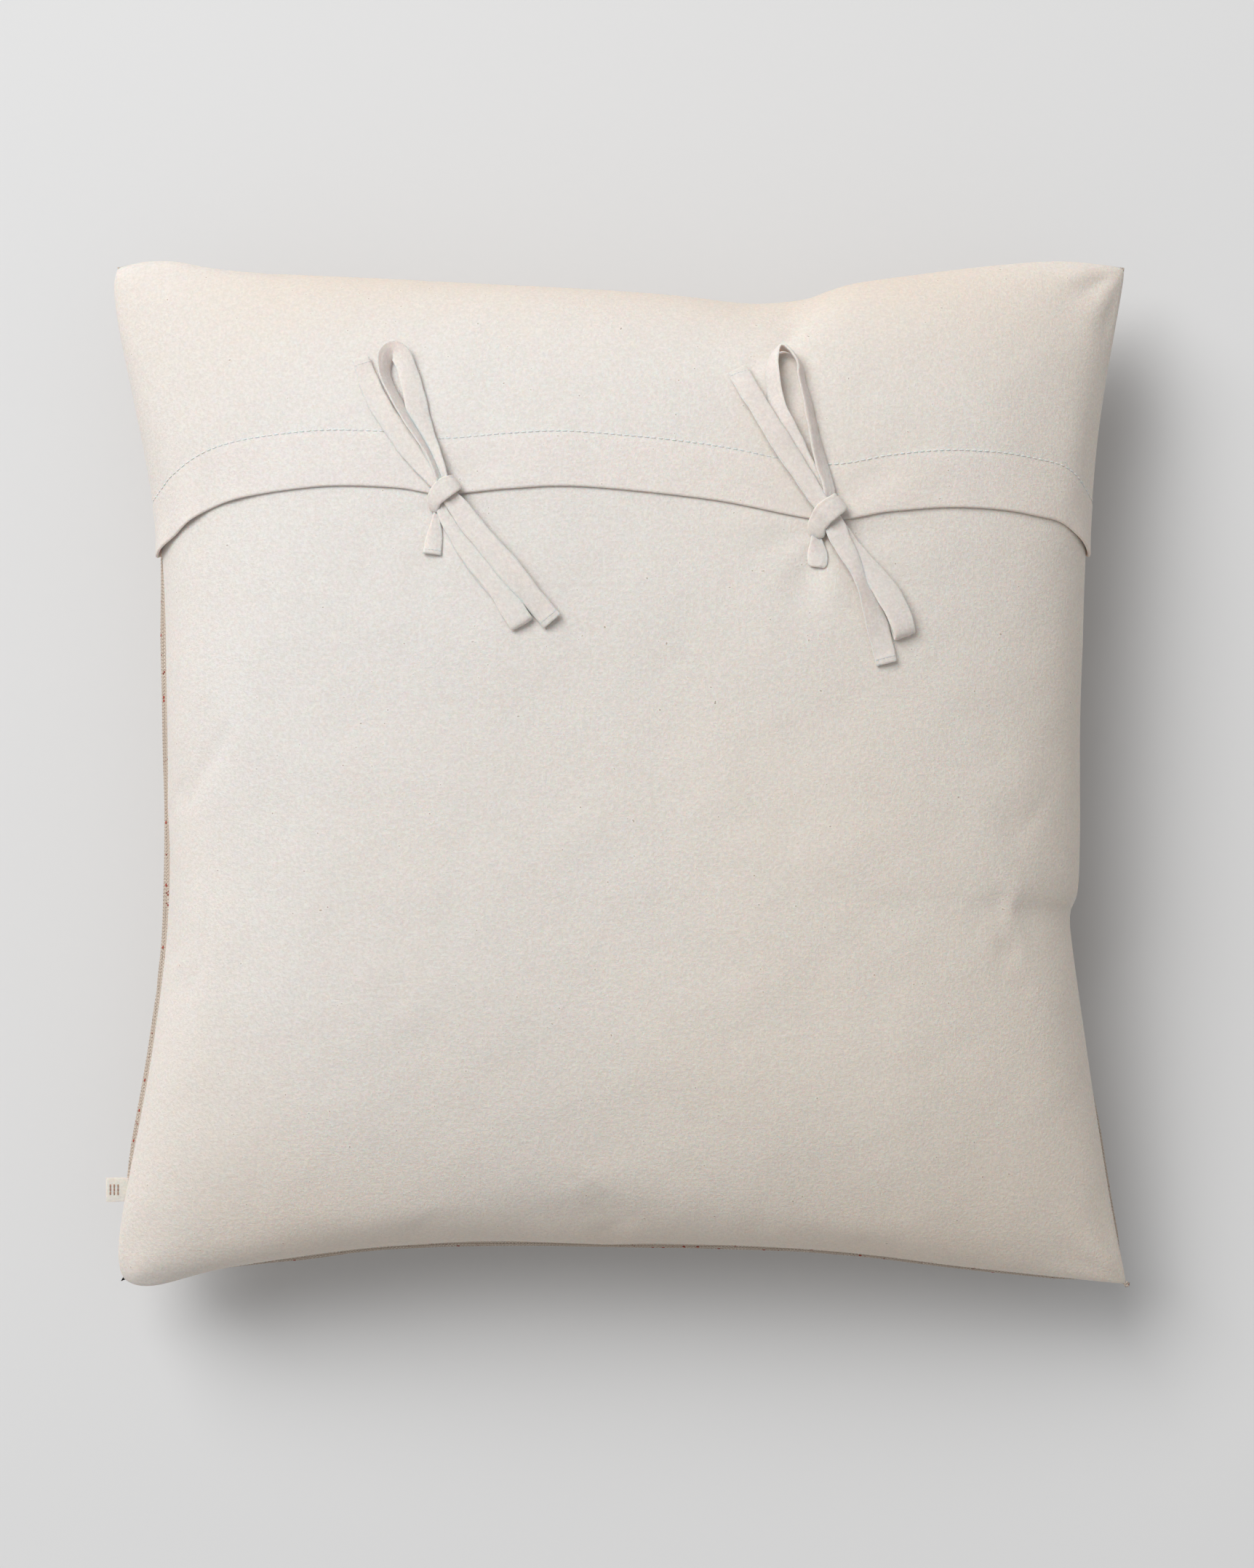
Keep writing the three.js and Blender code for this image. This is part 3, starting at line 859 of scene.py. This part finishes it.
# %% Floats round the front's edge
FLOAT_ROWS = [2.6, 4.7, 6.8]
madder = cotton("madder_yarn", MADDER, tuple(1.3 * c for c in MADDER), 0.02 * MM, 0.0)


def border_line(grid, distance):
    """The four lines at a distance inside the border of a face."""
    inset = 1 - distance / (FLAT_SIDE / 2)
    line = np.linspace(-inset, inset, 330)
    at = np.full_like(line, inset)
    return [sample(grid, *place) for place in ((-at, line), (line, -at), (at, line), (line, at))]


front_normals = -normals(front_face)
float_points, float_faces, count = [], [], 0
for row, distance in enumerate(FLOAT_ROWS):
    lines = border_line(front_face, distance * MM)
    ups = border_line(front_normals, distance * MM)
    for line, up in zip(lines, ups):
        centres, ways, at = along_line(line, FLOAT_PITCH)
        centres = centres + ways * (row % 2) * FLOAT_PITCH / 2
        points, faces = capsules(
            centres, ways, unit(up[at.astype(int)]), 1.8 * MM, 0.72 * MM, 0.6
        )
        float_points.append(points)
        float_faces.append(faces + count)
        count += len(points)
floats = piece(
    "front_panel_floats", np.concatenate(float_points), np.concatenate(float_faces), front_weave,
    "cover", "front_weave",
)
floats.data.materials.append(madder)
per_float = (len(CAPSULE) - 1) * CAPSULE_SIDES
draws = np.random.default_rng(21).random(len(floats.data.polygons) // per_float) < 0.015
floats.data.polygons.foreach_set("material_index", np.repeat(draws, per_float).astype(int).tolist())

# %% [markdown]
# ## Where a tie lies
#
# A tie's line is drawn over the plan of its bow, and each of its places also says how high it lies over the
# cloth. So the first need is the point of the back under any place of the plan. The back's grid can't be
# turned round by a formula, so a place on the cloth is corrected again and again until it lies under the
# wanted one. Above the free edge the flap's thickness is added.

# %% The cloth under a place of the plan
FLAP_RISE = FLAP_GAP + HEM_CLOTH
back_normals = normals(back_face)


def cloth_under(x, y):
    """Point and normal of what a tie lies on."""
    s, t = x / HALF_WIDTH, y / HALF_LENGTH
    for _ in range(25):
        at = sample(back_face, s, t)
        s = s + (x - at[:, 0]) / HALF_WIDTH
        t = t + (y - at[:, 1]) / HALF_LENGTH
    normal = unit(sample(back_normals, s, t))
    on_flap = smooth((y - np.interp(x, edge_x, edge_y)) / (5 * MM) + 0.5)
    return sample(back_face, s, t) + normal * (FLAP_RISE * on_flap)[:, None], normal


# %% [markdown]
# ## Tie tape
#
# The ties are narrow strips of the canvas, folded in, and stitched along one edge, so a tie is about as
# thick as four cloths and has soft round edges. It is a sweep. A station is a place from the knot's middle,
# a height over the cloth, a roll and a width. The cross section turns with the line without twisting, and
# the roll is added to that: a tape standing on its edge is a roll of 90 degrees. Towards the knot it is
# gathered, so it gets narrower, thicker and creased, and its end is a folded hem with an open mouth.

# %% The tape sweep
TAPE_THICKNESS = 1.9 * MM
TAPE_STEP = 1.1 * MM
ACROSS_POINTS = 13
STITCH_INSET = 1.7 * MM


def carried(line, across):
    """Vectors across a line, carried along it without twist."""
    ways = unit(np.gradient(line, axis=0))
    found = []
    for way in ways:
        across = unit(across - way * (across @ way))
        found.append(across)
    return np.array(found), ways


def sweep(line, across, width, thickness, roll, gather, seed, stitched, hem=0.0):
    """Cross sections of a tape along a line: its upper and lower points, with rows along the line."""
    acrosses, ways = carried(line, across)
    normal = np.cross(acrosses, ways)
    turned, lifted = np.cos(roll)[:, None], np.sin(roll)[:, None]
    acrosses, normal = acrosses * turned + normal * lifted, normal * turned - acrosses * lifted
    reach = np.concatenate([[0], np.cumsum(np.linalg.norm(np.diff(line, axis=0), axis=1))])
    phase = np.random.default_rng(seed).random(6) * 2 * math.pi
    places_across = -np.cos(np.linspace(0, math.pi, ACROSS_POINTS))
    a = places_across[None]
    edge_wave = 0.25 * MM * np.sin(reach / (7 * MM) + phase[0])
    edge_wave = edge_wave + 0.12 * MM * np.sin(reach / (2.3 * MM) + phase[1])
    half = (width / 2 + edge_wave * (1 - gather))[:, None]
    body = np.sqrt(1 - np.abs(a) ** 5)
    groove = 1 - 0.42 * hump(a * half, stitched * (half - STITCH_INSET), 0.55 * MM)
    crease = 1 - 0.45 * gather[:, None] * (hump(a, 0.25, 0.16) + hump(a, -0.4, 0.14))
    pucker = 1 + 0.10 * np.sin(reach / (1.5 * MM) + phase[2])[:, None] * hump(a, stitched * 0.6, 0.45)
    from_end = (reach[-1] - reach)[:, None]
    folded = 1 + 0.35 * (hem > 0) * smooth((hem - from_end) / (0.8 * MM) + 0.5)
    thick = thickness[:, None] / 2 * body * groove * crease * pucker * folded
    sag = 0.3 * MM * np.sin(reach / (9 * MM) + phase[3])[:, None] * a**2
    curl = 0.35 * MM * np.sin(reach / (14 * MM) + phase[4])[:, None] * a
    middle = line[:, None] + acrosses[:, None] * (a * half)[..., None]
    middle = middle + normal[:, None] * (sag + curl)[..., None]
    upper = middle + normal[:, None] * thick[..., None]
    lower = middle - normal[:, None] * thick[..., None]
    return upper, lower, normal, reach


def tube(upper, lower, mouth=False):
    """Points and faces of a tape, closed at both ends. A mouth is an end that is open a little way in."""
    if mouth:
        inward = unit(upper[-2:-1] - upper[-1:]) * 1.2 * MM
        middle = (upper[-1:] + lower[-1:]) / 2
        upper = np.concatenate(
            [upper, lerp(middle, upper[-1:], 0.45), lerp(middle, upper[-1:], 0.4) + inward]
        )
        lower = np.concatenate(
            [lower, lerp(middle, lower[-1:], 0.45), lerp(middle, lower[-1:], 0.4) + inward]
        )
    return shell(np.swapaxes(upper, 0, 1), np.swapaxes(lower, 0, 1))


# %% One tie
def tie(name, hand, stations, body, stands_for, start_gather=1.0, end_gather=0.0, seed=0, stitched=-1,
        hem=0.0, thickness=TAPE_THICKNESS):
    """A length of tape through stations of x, y, height, width in millimetres and roll in degrees."""
    rough = cubic(stations, 12)
    spaced = np.concatenate([[0], np.cumsum(np.linalg.norm(np.diff(rough[:, :3], axis=0), axis=1))])
    marks = np.linspace(0, spaced[-1], max(8, int(spaced[-1] * MM / TAPE_STEP)))
    x, y, high, wide, roll = (np.interp(marks, spaced, rough[:, k]) for k in range(5))
    roll = np.radians(roll)
    knot = KNOTS[hand]
    below, up = cloth_under(knot.x + x * MM, knot.y + y * MM)
    raised = high * MM + thickness / 2 + np.abs(np.sin(roll)) * (wide * MM - thickness) / 2
    line = below + up * raised[:, None]
    gather = start_gather * smooth(1 - marks / 22) + end_gather * smooth(1 - (marks[-1] - marks) / 22)
    first_way = unit(line[1] - line[0])
    width = wide * MM
    thick = thickness * (1 + 0.25 * gather)
    upper, lower, normal, reach = sweep(
        line, np.cross(first_way, up[0]), width, thick, roll, gather, seed, stitched, hem
    )
    made = piece(name, *tube(upper, lower, hem > 0), tie_cloth, body, "tie_cloth", stands_for)
    seam = int(round((ACROSS_POINTS - 1) * (0.5 + stitched * 0.38)))
    seam_line = (upper[2:-2, seam] + upper[2:-2, seam - stitched]) / 2
    at, way, index = along_line(seam_line, 2.4 * MM)
    ups = normal[2:-2][index.astype(int)]
    points, faces = capsules(at - ups * 0.12 * MM, way, ups, 1.7 * MM, 0.2 * MM)
    if hem:
        row = len(upper) - 1 - int(hem * 0.8 / TAPE_STEP)
        cross, cross_way, _ = along_line(upper[row, 1:-1], 2.0 * MM)
        more, more_faces = capsules(cross, cross_way, np.repeat(normal[row][None], len(cross), 0),
                                    1.5 * MM, 0.2 * MM)
        faces = np.concatenate([faces, more_faces + len(points)])
        points = np.concatenate([points, more])
    sewing = piece(f"{name}_stitches", points, faces, thread, body, "tie_cloth")
    return made


# %% [markdown]
# ## The left bow
#
# Each bow has a tail and a loop going up over the flap, a tail and a loop going down over the panel, and
# the foot of the tie that is sewn to the panel. The left bow's upper loop stands on edge and opens upward
# like a funnel, so one side shows its inner face and the other only its edge. Its lower loop lies flat,
# folded on itself, with the tail over it.

# %% Left bow
HEM_FOLD = 5 * MM
tie("left_upper_tail_tape", "left", [
    (-0.5, 1, 2.0, 6.5, 0), (-6.6, 7.0, 1.8, 8, 0), (-15.5, 18.5, 0.9, 10.5, 4), (-24.5, 31, 0.5, 12, 5),
    (-35.2, 46.2, 0.4, 12.3, 3), (-42.4, 60.2, 0.5, 11, -4), (-47.7, 75, 0.9, 9.6, -14),
], "left_upper_tail", ["left_upper_tail"], seed=1, hem=HEM_FOLD)
tie("left_upper_loop_tape", "left", [
    (0, 1, 3.9, 6, -15), (-3.0, 9, 3.2, 7.5, -50), (-8.6, 21, 2.2, 9, -64), (-16.2, 33.5, 1.5, 10, -64),
    (-24.8, 46.5, 1.2, 10.5, -64), (-31.6, 58.5, 1.0, 10.5, -64), (-34.2, 67, 0.9, 10.5, -62),
    (-33.8, 74.5, 0.8, 10.5, -56), (-30.4, 78.6, 0.7, 10.5, -48), (-26, 77.0, 0.6, 11, -36),
    (-22.4, 70, 0.5, 11.5, -24), (-19.8, 62, 0.5, 12, -18), (-17.0, 52, 0.5, 12, -18),
    (-13.8, 40, 0.6, 12, -20), (-8.8, 27, 1.0, 10.5, -32), (-3.0, 13, 2.6, 8, -45), (0.6, 1, 4.4, 6, -15),
], "left_upper_loop", ["left_upper_loop"], end_gather=1.0, seed=2)
tie("left_lower_loop_tape", "left", [
    (0, -1, 1.2, 6.5, 0), (-1.2, -9, 1.0, 6.5, 0), (4.6, -21.3, 0.6, 8.5, 0), (12.3, -32.2, 0.4, 10.5, 0),
    (20.5, -42.2, 0.3, 12, 0), (30.4, -54.5, 0.3, 12, 0), (38.4, -66, 0.3, 13, 0), (41.6, -71, 0.5, 13, 0),
    (42.9, -73.2, 1.7, 13, 0), (41.7, -71.4, 3.0, 13, 0), (37.8, -65.4, 2.9, 13, 0),
    (29.9, -53.6, 2.6, 12, 0), (19.8, -40.8, 2.5, 12, 0), (11.4, -30.4, 2.5, 10.5, 0),
    (3.6, -19.4, 2.8, 8.5, 0), (-1.6, -8.6, 3.2, 6.5, 0),
    (-0.5, -1, 3.3, 6.5, 0),
], "left_lower_loop", ["left_lower_loop"], end_gather=1.0, seed=3)
tie("left_lower_tail_tape", "left", [
    (0.5, -0.5, 5.4, 8, 0), (5.6, -6, 5.3, 10, 0), (14.2, -17, 4.9, 12, 0), (24.4, -29.6, 4.4, 12.8, -4),
    (36.0, -43.5, 3.6, 13, -8), (47.4, -57.3, 2.6, 12.6, -9), (59.4, -71.6, 1.6, 12, -8),
], "left_lower_tail", ["left_lower_tail"], seed=4, hem=HEM_FOLD)
tie("left_panel_tie_foot", "left", [
    (-2.5, -3, 1.6, 6.5, 0), (-4.0, -9, 1.0, 3.4, 0), (-4.9, -14, 0.8, 4.4, 0), (-5.4, -21, 0.8, 7.4, 0),
    (-6.2, -28, 1.0, 9.6, 0), (-7.0, -34.2, 1.2, 10.6, 0),
], "cover", ["left_panel_tie_base"], seed=5, hem=3 * MM)
tie("left_flap_tie_foot", "left", [
    (1.5, 5.0, 0.2, 10, 0), (0.5, 0, 0.1, 8, 0), (-1.0, -6.5, 0.2, 6.5, 0),
], "cover", ["left_flap_tie_base"], seed=6)

# %% [markdown]
# ## The right bow
#
# The right bow's upper loop closes over itself like a tent, so both of its sides show their outer faces,
# with the hollow dark between them. Its tail lies over the loop. The lower tail is turned on its side part
# of the way down, and the lower loop is folded flat but open at its tip.

# %% Right bow
tie("right_upper_loop_tape", "right", [
    (0, 1, 1.2, 6.5, 5), (-3.6, 10.7, 1.0, 8, 12), (-11.0, 26.7, 0.6, 10, 20), (-20.0, 44.1, 0.5, 10.5, 28),
    (-26.8, 60, 0.5, 10.5, 34), (-28.6, 75, 0.6, 10.5, 44), (-27.4, 83.5, 0.8, 10.5, 54),
    (-23.6, 88.4, 0.9, 10.5, 68), (-18.6, 87.6, 0.9, 10.5, 72), (-15.0, 82.0, 0.8, 10.5, 72),
    (-11.8, 73, 0.7, 10.5, 70), (-9.2, 62, 0.7, 10.5, 66), (-6.4, 46.8, 0.8, 10.5, 58),
    (-2.4, 27, 1.0, 10, 42), (2.0, 12, 2.2, 8.5, 34), (1.4, 1, 3.2, 6.5, 8),
], "right_upper_loop", ["right_upper_loop"], end_gather=1.0, seed=11)
tie("right_upper_tail_tape", "right", [
    (-0.5, 1, 5.4, 8, 0), (-6, 8, 5.3, 10, 0), (-15.6, 23.6, 5.0, 12, -4), (-25.8, 40.1, 4.6, 12.2, -8),
    (-37.2, 59.2, 3.2, 12, -10), (-48.2, 78.8, 1.6, 11.4, -8),
], "right_upper_tail", ["right_upper_tail"], seed=12, hem=HEM_FOLD)
tie("right_lower_loop_tape", "right", [
    (0, -1, 1.2, 6.5, 0), (6, -8, 1.0, 8, 0), (15.2, -23.5, 0.6, 11, -4), (25, -34.5, 0.4, 12, -6),
    (34, -46, 0.3, 12, -6), (40, -58.5, 0.3, 12, -4), (42.8, -65.2, 0.5, 12.6, -4),
    (43.6, -68.0, 2.0, 13, -4),
    (42.6, -64.6, 4.2, 13.6, -6), (38.8, -54.6, 4.2, 14, -8), (32.4, -42.8, 3.4, 14, -8),
    (24.0, -31.2, 2.9, 12.6, -6), (15.8, -21, 2.9, 11, -4), (6, -6.5, 3.2, 8, 0), (0.4, -1, 3.4, 6.5, 0),
], "right_lower_loop", ["right_lower_loop"], end_gather=1.0, seed=13)
tie("right_lower_tail_tape", "right", [
    (0.5, -0.5, 5.5, 9, 0), (4.4, -7, 5.4, 11.6, 0), (10.6, -20.8, 5.0, 10.6, 8), (17.0, -34, 3.8, 10.4, 24),
    (20.8, -42, 2.8, 10.8, 26), (24.6, -50.5, 2.0, 11.6, 14), (29.6, -66.5, 1.0, 12.8, 2),
    (34.0, -83.4, 0.8, 12.2, 0),
], "right_lower_tail", ["right_lower_tail"], seed=14, stitched=1, hem=HEM_FOLD)
tie("right_panel_tie_foot", "right", [
    (-3, -3, 1.6, 7, 0), (-5.2, -11, 1.2, 5.0, 10), (-4.6, -17, 0.8, 8.0, 6), (-3.8, -23, 0.6, 10.6, 0),
    (-3.6, -28.6, 0.6, 10.4, 0), (-3.8, -30.4, 0.4, 7.4, 0),
], "cover", ["right_panel_tie_base"], seed=15)
tie("right_flap_tie_foot", "right", [
    (1.5, 5.0, 0.2, 10, 0), (0.5, 0, 0.1, 8, 0), (-1.0, -6.5, 0.2, 6.5, 0),
], "cover", ["right_flap_tie_base"], seed=16)

# %% [markdown]
# ## The knots
#
# What holds a bow is one turn of the tie, wrapped across the others. It goes under them, up one side, over
# the top and down the other, where it is pulled in. So it is the same tape, swept round a flat ring.

# %% Knots
KNOT_SHIFT = {"left": (-0.8, 0), "right": (0.4, -1.7)}  # millimetres


def knot(hand, heading, stations, seed):
    """A turn of tape round the bow. Stations are along the heading and across it, with height and width."""
    c, s = math.cos(math.radians(heading)), math.sin(math.radians(heading))
    x, y = KNOT_SHIFT[hand]
    placed = [(x + d * c - e * s, y + d * s + e * c, high, wide, roll) for d, e, high, wide, roll in stations]
    return tie(f"{hand}_knot_wrap", hand, placed, "cover", [f"{hand}_knot"], 0.0, 0.0, seed,
               thickness=2.1 * MM)


knot("left", 28, [
    (1, 0, 0.2, 8, 0), (6, 0.4, 0.3, 8.4, 0), (8.4, 0.6, 1.8, 8.8, 0), (8.6, 0.6, 4.0, 9.4, 0),
    (6.2, 0.4, 6.2, 10.4, 0), (1.6, 0, 7.4, 11.2, 0), (-3.2, -0.8, 7.2, 10.8, 0), (-6.6, -2.4, 5.6, 9.4, 0),
    (-8.4, -4.8, 3.4, 7.4, 0), (-8.6, -7.2, 1.4, 5.4, 0), (-6.0, -6.0, 0.4, 6, 0), (-1, -1.5, 0.2, 7, 0),
], 31)
knot("right", 36, [
    (1, 1, 0.2, 9, 0), (7, 1.2, 0.3, 10, 0), (9.8, 1.2, 1.8, 10.4, 0), (10.2, 1.2, 4.2, 11, 0),
    (7.6, 1.2, 6.8, 12, 0), (2.6, 1, 8.1, 12.8, 0), (-2.9, 0.2, 8.0, 12.6, 0), (-7.2, -1.6, 6.2, 11.2, 0),
    (-9.8, -4.4, 3.8, 9.2, 0), (-10.2, -7.4, 1.6, 6.8, 0), (-7.4, -6.0, 0.4, 7, 0), (-1, -0.5, 0.2, 8, 0),
], 32)

# %% [markdown]
# ## The label
#
# A short woven tape folded in two is caught in the side seam. The real one has a small woven mark, which is
# left out: three plain bars of stitches take its place. The tape goes out from the seam, round its fold and
# back, and it rides on the label's body, so that it turns where the CAD label turns.

# %% Label
label_low, label_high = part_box("label_tab")
LABEL_CLOTH = 0.6 * MM
LABEL_WIDTH = 13.6 * MM
LABEL_OUT = 9.8  # how far the fold stands out from the seam, in millimetres
LABEL_FOLD = [
    (-3, 0.5), (1, 0.6), (4, 0.7), (8, 0.7), (LABEL_OUT - 0.8, 0.6), (LABEL_OUT, 0), (LABEL_OUT - 0.8, -0.6),
    (8, -0.7), (4, -0.7), (1, -0.6), (-3, -0.5),
]
label_middle = (label_low + label_high) / 2
label_seam = -float(line_out(LEFT_LINE, label_middle.y))
out, over = (cubic(LABEL_FOLD, 6) * MM).T
label_line = np.stack([label_seam - out, label_middle.y + 0 * out, label_middle.z + over], -1)
steady = np.ones_like(out)
upper, lower, _, label_reach = sweep(
    label_line, np.array([0, 1.0, 0]), steady * LABEL_WIDTH, steady * LABEL_CLOTH,
    0 * out, 0 * out, 41, -1,
)
label = piece("label_tape_fold", *tube(upper, lower), label_tape, "label", "label_tape", ["label_tab"])
brown_yarn = cotton("brown_yarn", (0.40, 0.23, 0.17), (0.44, 0.27, 0.2), 0.02 * MM, 0.0)
bar_places = np.array([
    [label_seam - x * MM, label_middle.y + y * MM, label_middle.z + 1.0 * MM]
    for x in (3, 5.2, 7.4) for y in (-2.1, 0, 2.1)
])
bars = piece(
    "label_bars", *capsules(bar_places, np.tile([0, 1.0, 0], (9, 1)), np.tile([0, 0, 1.0], (9, 1)),
                            2.1 * MM, 0.45 * MM),
    brown_yarn, "label", "label_tape",
)

# %% [markdown]
# ## The insert
#
# Inside the cover is a bought insert, a plain case of thin white cotton full of loose fibre. It can't be
# seen, but it is there if the cover is taken away: two case panels with the cover's own folds pressed into
# them, and the fibre as one soft lumpy mass.

# %% Insert
CASE_CLOTH = 1.0 * MM
CASE_DEPTH = 4.2 * MM
FILLING_DEPTH = 6.4 * MM
THIN_OUT = 3
pressed = {BACK: back_face - form(fine_s, fine_t, BACK), FRONT: front_face - form(fine_s, fine_t, FRONT)}
thin = np.unique(np.concatenate([np.arange(0, len(places), THIN_OUT), [len(places) - 1]]))


def inner_face(side, depth, share=0.8):
    grid = form(fine_s, fine_t, side, depth) + pressed[side] * share * fade[..., None]
    grid[..., 2] = np.maximum(grid[..., 2], depth if side == FRONT else 0)
    return grid[np.ix_(thin, thin)]


for side, word in ((BACK, "back"), (FRONT, "front")):
    outer, inner = inner_face(side, CASE_DEPTH), inner_face(side, CASE_DEPTH + CASE_CLOTH)
    points, faces = shell(outer, inner)
    case = piece(
        f"insert_case_{word}_cotton", points, faces[:, ::side], case_cotton, "cover", "case_cotton",
        [f"insert_case_{word}"],
    )
filling = piece(
    "insert_filling_fibre", *shell(inner_face(BACK, FILLING_DEPTH), inner_face(FRONT, FILLING_DEPTH)),
    fibre, "cover", "fibre", ["insert_filling"],
)
